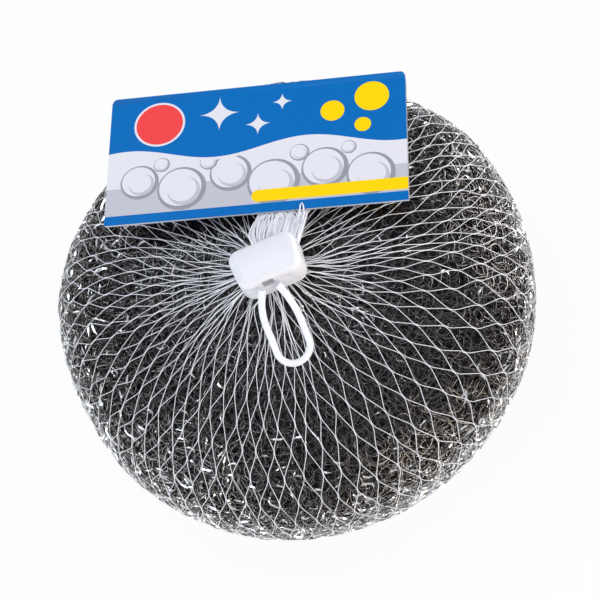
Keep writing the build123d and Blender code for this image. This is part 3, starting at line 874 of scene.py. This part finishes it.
# A strand goes through five places: in the clip, at its mouth, before and behind the card's edge, and at the
# end of the glue. For each there is the bundle's half width, its shift to the right and its half thickness.
tail_half_widths = np.array([5.6, 6.8, 7.0, 7.4, 7.6]) * mm
tail_shifts = np.array([0.0, 0.0, 0.4, 1.2, 2.0]) * mm
tail_half_thicknesses = np.array([0.8, 0.7, 0.5, 0.3]) * mm
leaf_back = np.array([0, math.sin(card_pitch), -math.cos(card_pitch)]) * board_fold
leaf_up = np.array([0, math.cos(card_pitch), math.sin(card_pitch)])
card_edge = card_shift * np.array([0, 1, 1])
tail_middles = np.array([
    (0, -tail_root_reach, 0),
    (0, 0, 0),
    card_edge + leaf_back - leaf_up * tail_mouth_reach,
    card_edge + leaf_back + leaf_up * tail_mouth_reach,
    card_edge + leaf_back + leaf_up * tail_glued_reach,
])
tail_middles[:, 0] = tail_shifts
tail_random = np.random.default_rng(3)
tail_share = 1 - 2 * np.linspace(0, 1, tail_strand_count) ** tail_crowding
tail_mixed = tail_share[tail_random.permutation(tail_strand_count)]
tail_cross = tail_mixed * tail_mix_share + tail_share * (1 - tail_mix_share)
tail_level = tail_random.uniform(-1, 1, (tail_strand_count, len(tail_half_thicknesses)))
knots = np.broadcast_to(tail_middles, (tail_strand_count, *tail_middles.shape)).copy()
knots[..., 0] += np.stack([tail_share] * 3 + [tail_cross] * 2, 1) * tail_half_widths
knots[:, :-1, 2] += tail_level * tail_half_thicknesses
tail_steps = np.linspace(0, len(tail_middles) - 1, tail_step_count)
knot_before = tail_steps.astype(int).clip(0, len(tail_middles) - 2)
past_knot = (tail_steps - knot_before)[:, None]
tail_paths = knots[:, knot_before] * (1 - past_knot) + knots[:, knot_before + 1] * past_knot
tail_paths[:, 1:-1] = (tail_paths[:, :-2] + 2 * tail_paths[:, 1:-1] + tail_paths[:, 2:]) / 4
tail_field = np.zeros(tail_paths.shape)
tail_field[..., 0] = tail_paths[..., 1] / mm
tail_field[..., 1] = tail_share[:, None] * tail_sway_spread
tail_paths[..., 0] += ripple(tail_field, tail_sway_wavelength, 31) * tail_sway

# The sprung strand starts and ends in the bundle, and bends back over the card's edge in between.
sprung_root = np.array([(5.6, 3.0, -0.9), (6.6, 3.0, -1.3)]) * mm
sprung_bend = np.array([
    (6.0, -1.5, 0.9),
    (6.3, 1.0, 0.3),
    (6.7, 1.6, 0.0),
    (7.1, 0.6, 0.5),
    (7.2, -1.6, 0.4),
]) * mm
sprung_path = np.concatenate([sprung_root[:1], sprung_bend + card_edge, sprung_root[1:]])


def tail_part(paths):
    """Round strands along paths given in the header's frame, as a part of one piece in the shared frame."""
    placed = paths @ header_turn.T + header_pivot
    across, outward = strand_frames(placed, np.broadcast_to(np.array([0.0, 0.0, 1.0]), placed.shape))
    profile = round_profile(thin_strand_sides, tail_strand_radius)
    return carried_profile(placed, across, outward, profile, False)


tail_parts = [tail_part(tail_paths), tail_part(sprung_path[None])]
net_tail = built_piece("net_tail_strands", tail_parts, net_plastic, True)
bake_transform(net_tail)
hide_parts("net_tail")

# Header card. One sheet of coated board folded at its far edge, with the net's tail glued between its leaves.
# It is printed on the outside faces and over the fold, and the cut edges and the inside show the bare board.
card_width = 80.0
card_height = 40.5
fold_radius = board_fold / mm
print_depth = 0.12

# The print, in millimetres along the card and up it: a wave with a pale border between a blue ground and a
# white one, bubbles under it, a coral disc, shine stars and yellow dots above it, and two bands at the foot.
# A bubble is drawn as discs over each other, given by their shift and their radius against the bubble's.
wave_length_rate = 0.13
wave_start = 0.9
wave_swing = 2.1
wave_middle = 20.5
wave_border = 0.9
shadow_top = 11.0
bubbles = (
    ((9.0, 12.5), 5.2), ((20.5, 9.5), 6.6), ((33.5, 13.0), 5.6), ((45.0, 9.0), 7.0), ((58.5, 12.0), 6.2),
    ((70.5, 9.0), 6.4), ((27.5, 17.0), 2.4), ((51.8, 17.3), 2.6), ((64.8, 17.6), 2.0), ((14.8, 17.4), 2.2),
)
coral_centre = (13.6, 30.4)
coral_radius = 6.4
coral_border = 0.6
stars = (((30.0, 32.0), 5.6), ((40.5, 27.6), 3.6), ((47.0, 34.0), 2.8))
star_power = 0.55
dots = (((71.0, 33.0), 4.6), ((60.5, 29.5), 3.2), ((68.5, 24.3), 2.2))
strip_start = (41.0, 5.1)
strip_half_width = 1.8
foot_band = 2.7
bare = hex_colour("cfccca")
white_ink = hex_colour("e6e3ea")
blue = hex_colour("006bb8")
yellow = hex_colour("ffd600")
coral = hex_colour("f5484a")
grey = hex_colour("9a9aa2")
pale = hex_colour("c4c3cc")
bubble_ring_shares = (
    ((0.0, 0.0), 1.0, grey),
    ((-0.06, 0.06), 0.86, white_ink),
    ((0.1, -0.12), 0.66, pale),
    ((0.02, -0.02), 0.58, white_ink),
)

# Coated board, offset printed and varnished: flat bright inks under a thin even gloss.
board_print, tree = new_material("coated_board_with_glossy_print")
place_node = add_node(tree, "Attribute", attribute_name="card_place")
axes = add_node(tree, "SeparateXYZ", {0: place_node.outputs["Vector"]})
along = axes.outputs["X"]
rise = axes.outputs["Y"]
inward = axes.outputs["Z"]
flat_place = add_node(tree, "CombineXYZ", {0: along, 1: rise})


def inked(ground, ink, mask):
    """The ground colour with an ink laid over it where the mask is set."""
    return add_node(tree, "Mix", {0: mask, 6: ground, 7: ink}, data_type="RGBA").outputs[2]


def disc(centre, radius):
    """A mask inside a circle: the distance from its centre is less than its radius."""
    away = add_node(tree, "VectorMath", {0: flat_place.outputs[0], 1: (*centre, 0)}, operation="DISTANCE")
    inside = add_node(tree, "Math", {0: away.outputs["Value"], 1: radius}, operation="LESS_THAN")
    return inside.outputs[0]


def star(centre, radius):
    """A mask inside a shine star of four thin points: the distances along the card and up it, each raised to
    a power below one, add up to less than the radius raised to it."""
    away = add_node(tree, "VectorMath", {0: flat_place.outputs[0], 1: (*centre, 0)}, operation="SUBTRACT")
    size = add_node(tree, "VectorMath", {0: away.outputs[0]}, operation="ABSOLUTE")
    sides = add_node(tree, "SeparateXYZ", {0: size.outputs[0]})
    across = add_node(tree, "Math", {0: sides.outputs[0], 1: star_power}, operation="POWER")
    upward = add_node(tree, "Math", {0: sides.outputs[1], 1: star_power}, operation="POWER")
    reach = add_node(tree, "Math", {0: across.outputs[0], 1: upward.outputs[0]}, operation="ADD")
    inside = add_node(tree, "Math", {0: reach.outputs[0], 1: radius**star_power}, operation="LESS_THAN")
    return inside.outputs[0]


shadow = add_node(tree, "Math", {0: rise, 1: shadow_top}, operation="LESS_THAN")
print_colour = inked(white_ink, pale, shadow.outputs[0])
for (bubble_along, bubble_rise), radius in bubbles:
    for (shift_along, shift_rise), ring, ink in bubble_ring_shares:
        centre = (bubble_along + shift_along * radius, bubble_rise + shift_rise * radius)
        print_colour = inked(print_colour, ink, disc(centre, ring * radius))
phase = add_node(tree, "Math", {0: along, 1: wave_length_rate, 2: wave_start}, operation="MULTIPLY_ADD")
sine = add_node(tree, "Math", {0: phase.outputs[0]}, operation="SINE")
wave = add_node(tree, "Math", {0: sine.outputs[0], 1: wave_swing, 2: wave_middle}, operation="MULTIPLY_ADD")
border = add_node(tree, "Math", {0: wave.outputs[0], 1: wave_border}, operation="SUBTRACT")
for edge, ink in ((border, white_ink), (wave, blue)):
    above = add_node(tree, "Math", {0: rise, 1: edge.outputs[0]}, operation="GREATER_THAN")
    print_colour = inked(print_colour, ink, above.outputs[0])
print_colour = inked(print_colour, white_ink, disc(coral_centre, coral_radius + coral_border))
print_colour = inked(print_colour, coral, disc(coral_centre, coral_radius))
for centre, radius in stars:
    print_colour = inked(print_colour, white_ink, star(centre, radius))
for centre, radius in dots:
    print_colour = inked(print_colour, yellow, disc(centre, radius))
level = add_node(tree, "Math", {0: rise, 1: strip_start[1], 2: strip_half_width}, operation="COMPARE")
past = add_node(tree, "Math", {0: along, 1: strip_start[0]}, operation="GREATER_THAN")
strip = add_node(tree, "Math", {0: level.outputs[0], 1: past.outputs[0]}, operation="MULTIPLY")
print_colour = inked(print_colour, yellow, strip.outputs[0])
print_colour = inked(print_colour, yellow, disc(strip_start, strip_half_width))
foot = add_node(tree, "Math", {0: rise, 1: foot_band}, operation="LESS_THAN")
print_colour = inked(print_colour, blue, foot.outputs[0])

# The printed face is where the distance from the fold's middle is the board's outer radius.
past_fold = add_node(tree, "Math", {0: rise, 1: card_height - fold_radius}, operation="SUBTRACT")
fold_rise = add_node(tree, "Math", {0: past_fold.outputs[0], 1: 0.0}, operation="MAXIMUM")
fold_depth = add_node(tree, "Math", {0: inward, 1: fold_radius}, operation="ADD")
from_fold = add_node(tree, "CombineXYZ", {0: fold_rise.outputs[0], 1: fold_depth.outputs[0]})
outer = add_node(tree, "VectorMath", {0: from_fold.outputs[0]}, operation="LENGTH")
printed = add_node(tree, "Math", {
    0: outer.outputs["Value"],
    1: fold_radius - print_depth,
}, operation="GREATER_THAN")
lacquer = add_node(tree, "BsdfPrincipled", {
    "Base Color": inked(bare, print_colour, printed.outputs[0]),
    "Roughness": 0.3,
    "Specular IOR Level": 0.12,
})
add_node(tree, "OutputMaterial", {"Surface": lacquer.outputs["BSDF"]})
header_card = smooth_copy("header_card", "header", board_print)
card_vertices = np.zeros(len(header_card.data.vertices) * 3, np.float32)
header_card.data.vertices.foreach_get("co", card_vertices)
card_local = (card_vertices.reshape(-1, 3) - card_origin) @ card_turn / mm + np.array([card_width / 2, 0, 0])
card_place = header_card.data.attributes.new("card_place", "FLOAT_VECTOR", "POINT")
card_place.data.foreach_set("vector", card_local.astype(np.float32).ravel())

# Glue strip. Hot-melt glue, amber and waxy, between the leaves.
hot_melt = plastic("hot_melt_glue", "d8c792", 0.4, 0.3)
smooth_copy("glue_strip", "header", hot_melt)

# Inner turns, core and gather of the sleeve, and the flat wire tied round the gather. They are hidden in the
# ball, show only when it is taken apart, and keep the shapes they are packed with.
for node in ("sleeve_middle_turn", "sleeve_inner_turn", "sleeve_core", "centre_gather"):
    smooth_copy(node, "scrubber", deep_zinc)

# Galvanised tie, rolled flat: plain light grey zinc with a soft sheen.
tie_steel, tree = new_material("flat_galvanised_tie")
tie_skin = add_node(tree, "BsdfPrincipled", {
    "Base Color": hex_colour("b9b9bd"),
    "Metallic": 1.0,
    "Roughness": 0.35,
})
add_node(tree, "OutputMaterial", {"Surface": tie_skin.outputs["BSDF"]})
smooth_copy("tie_wire", "scrubber", tie_steel)
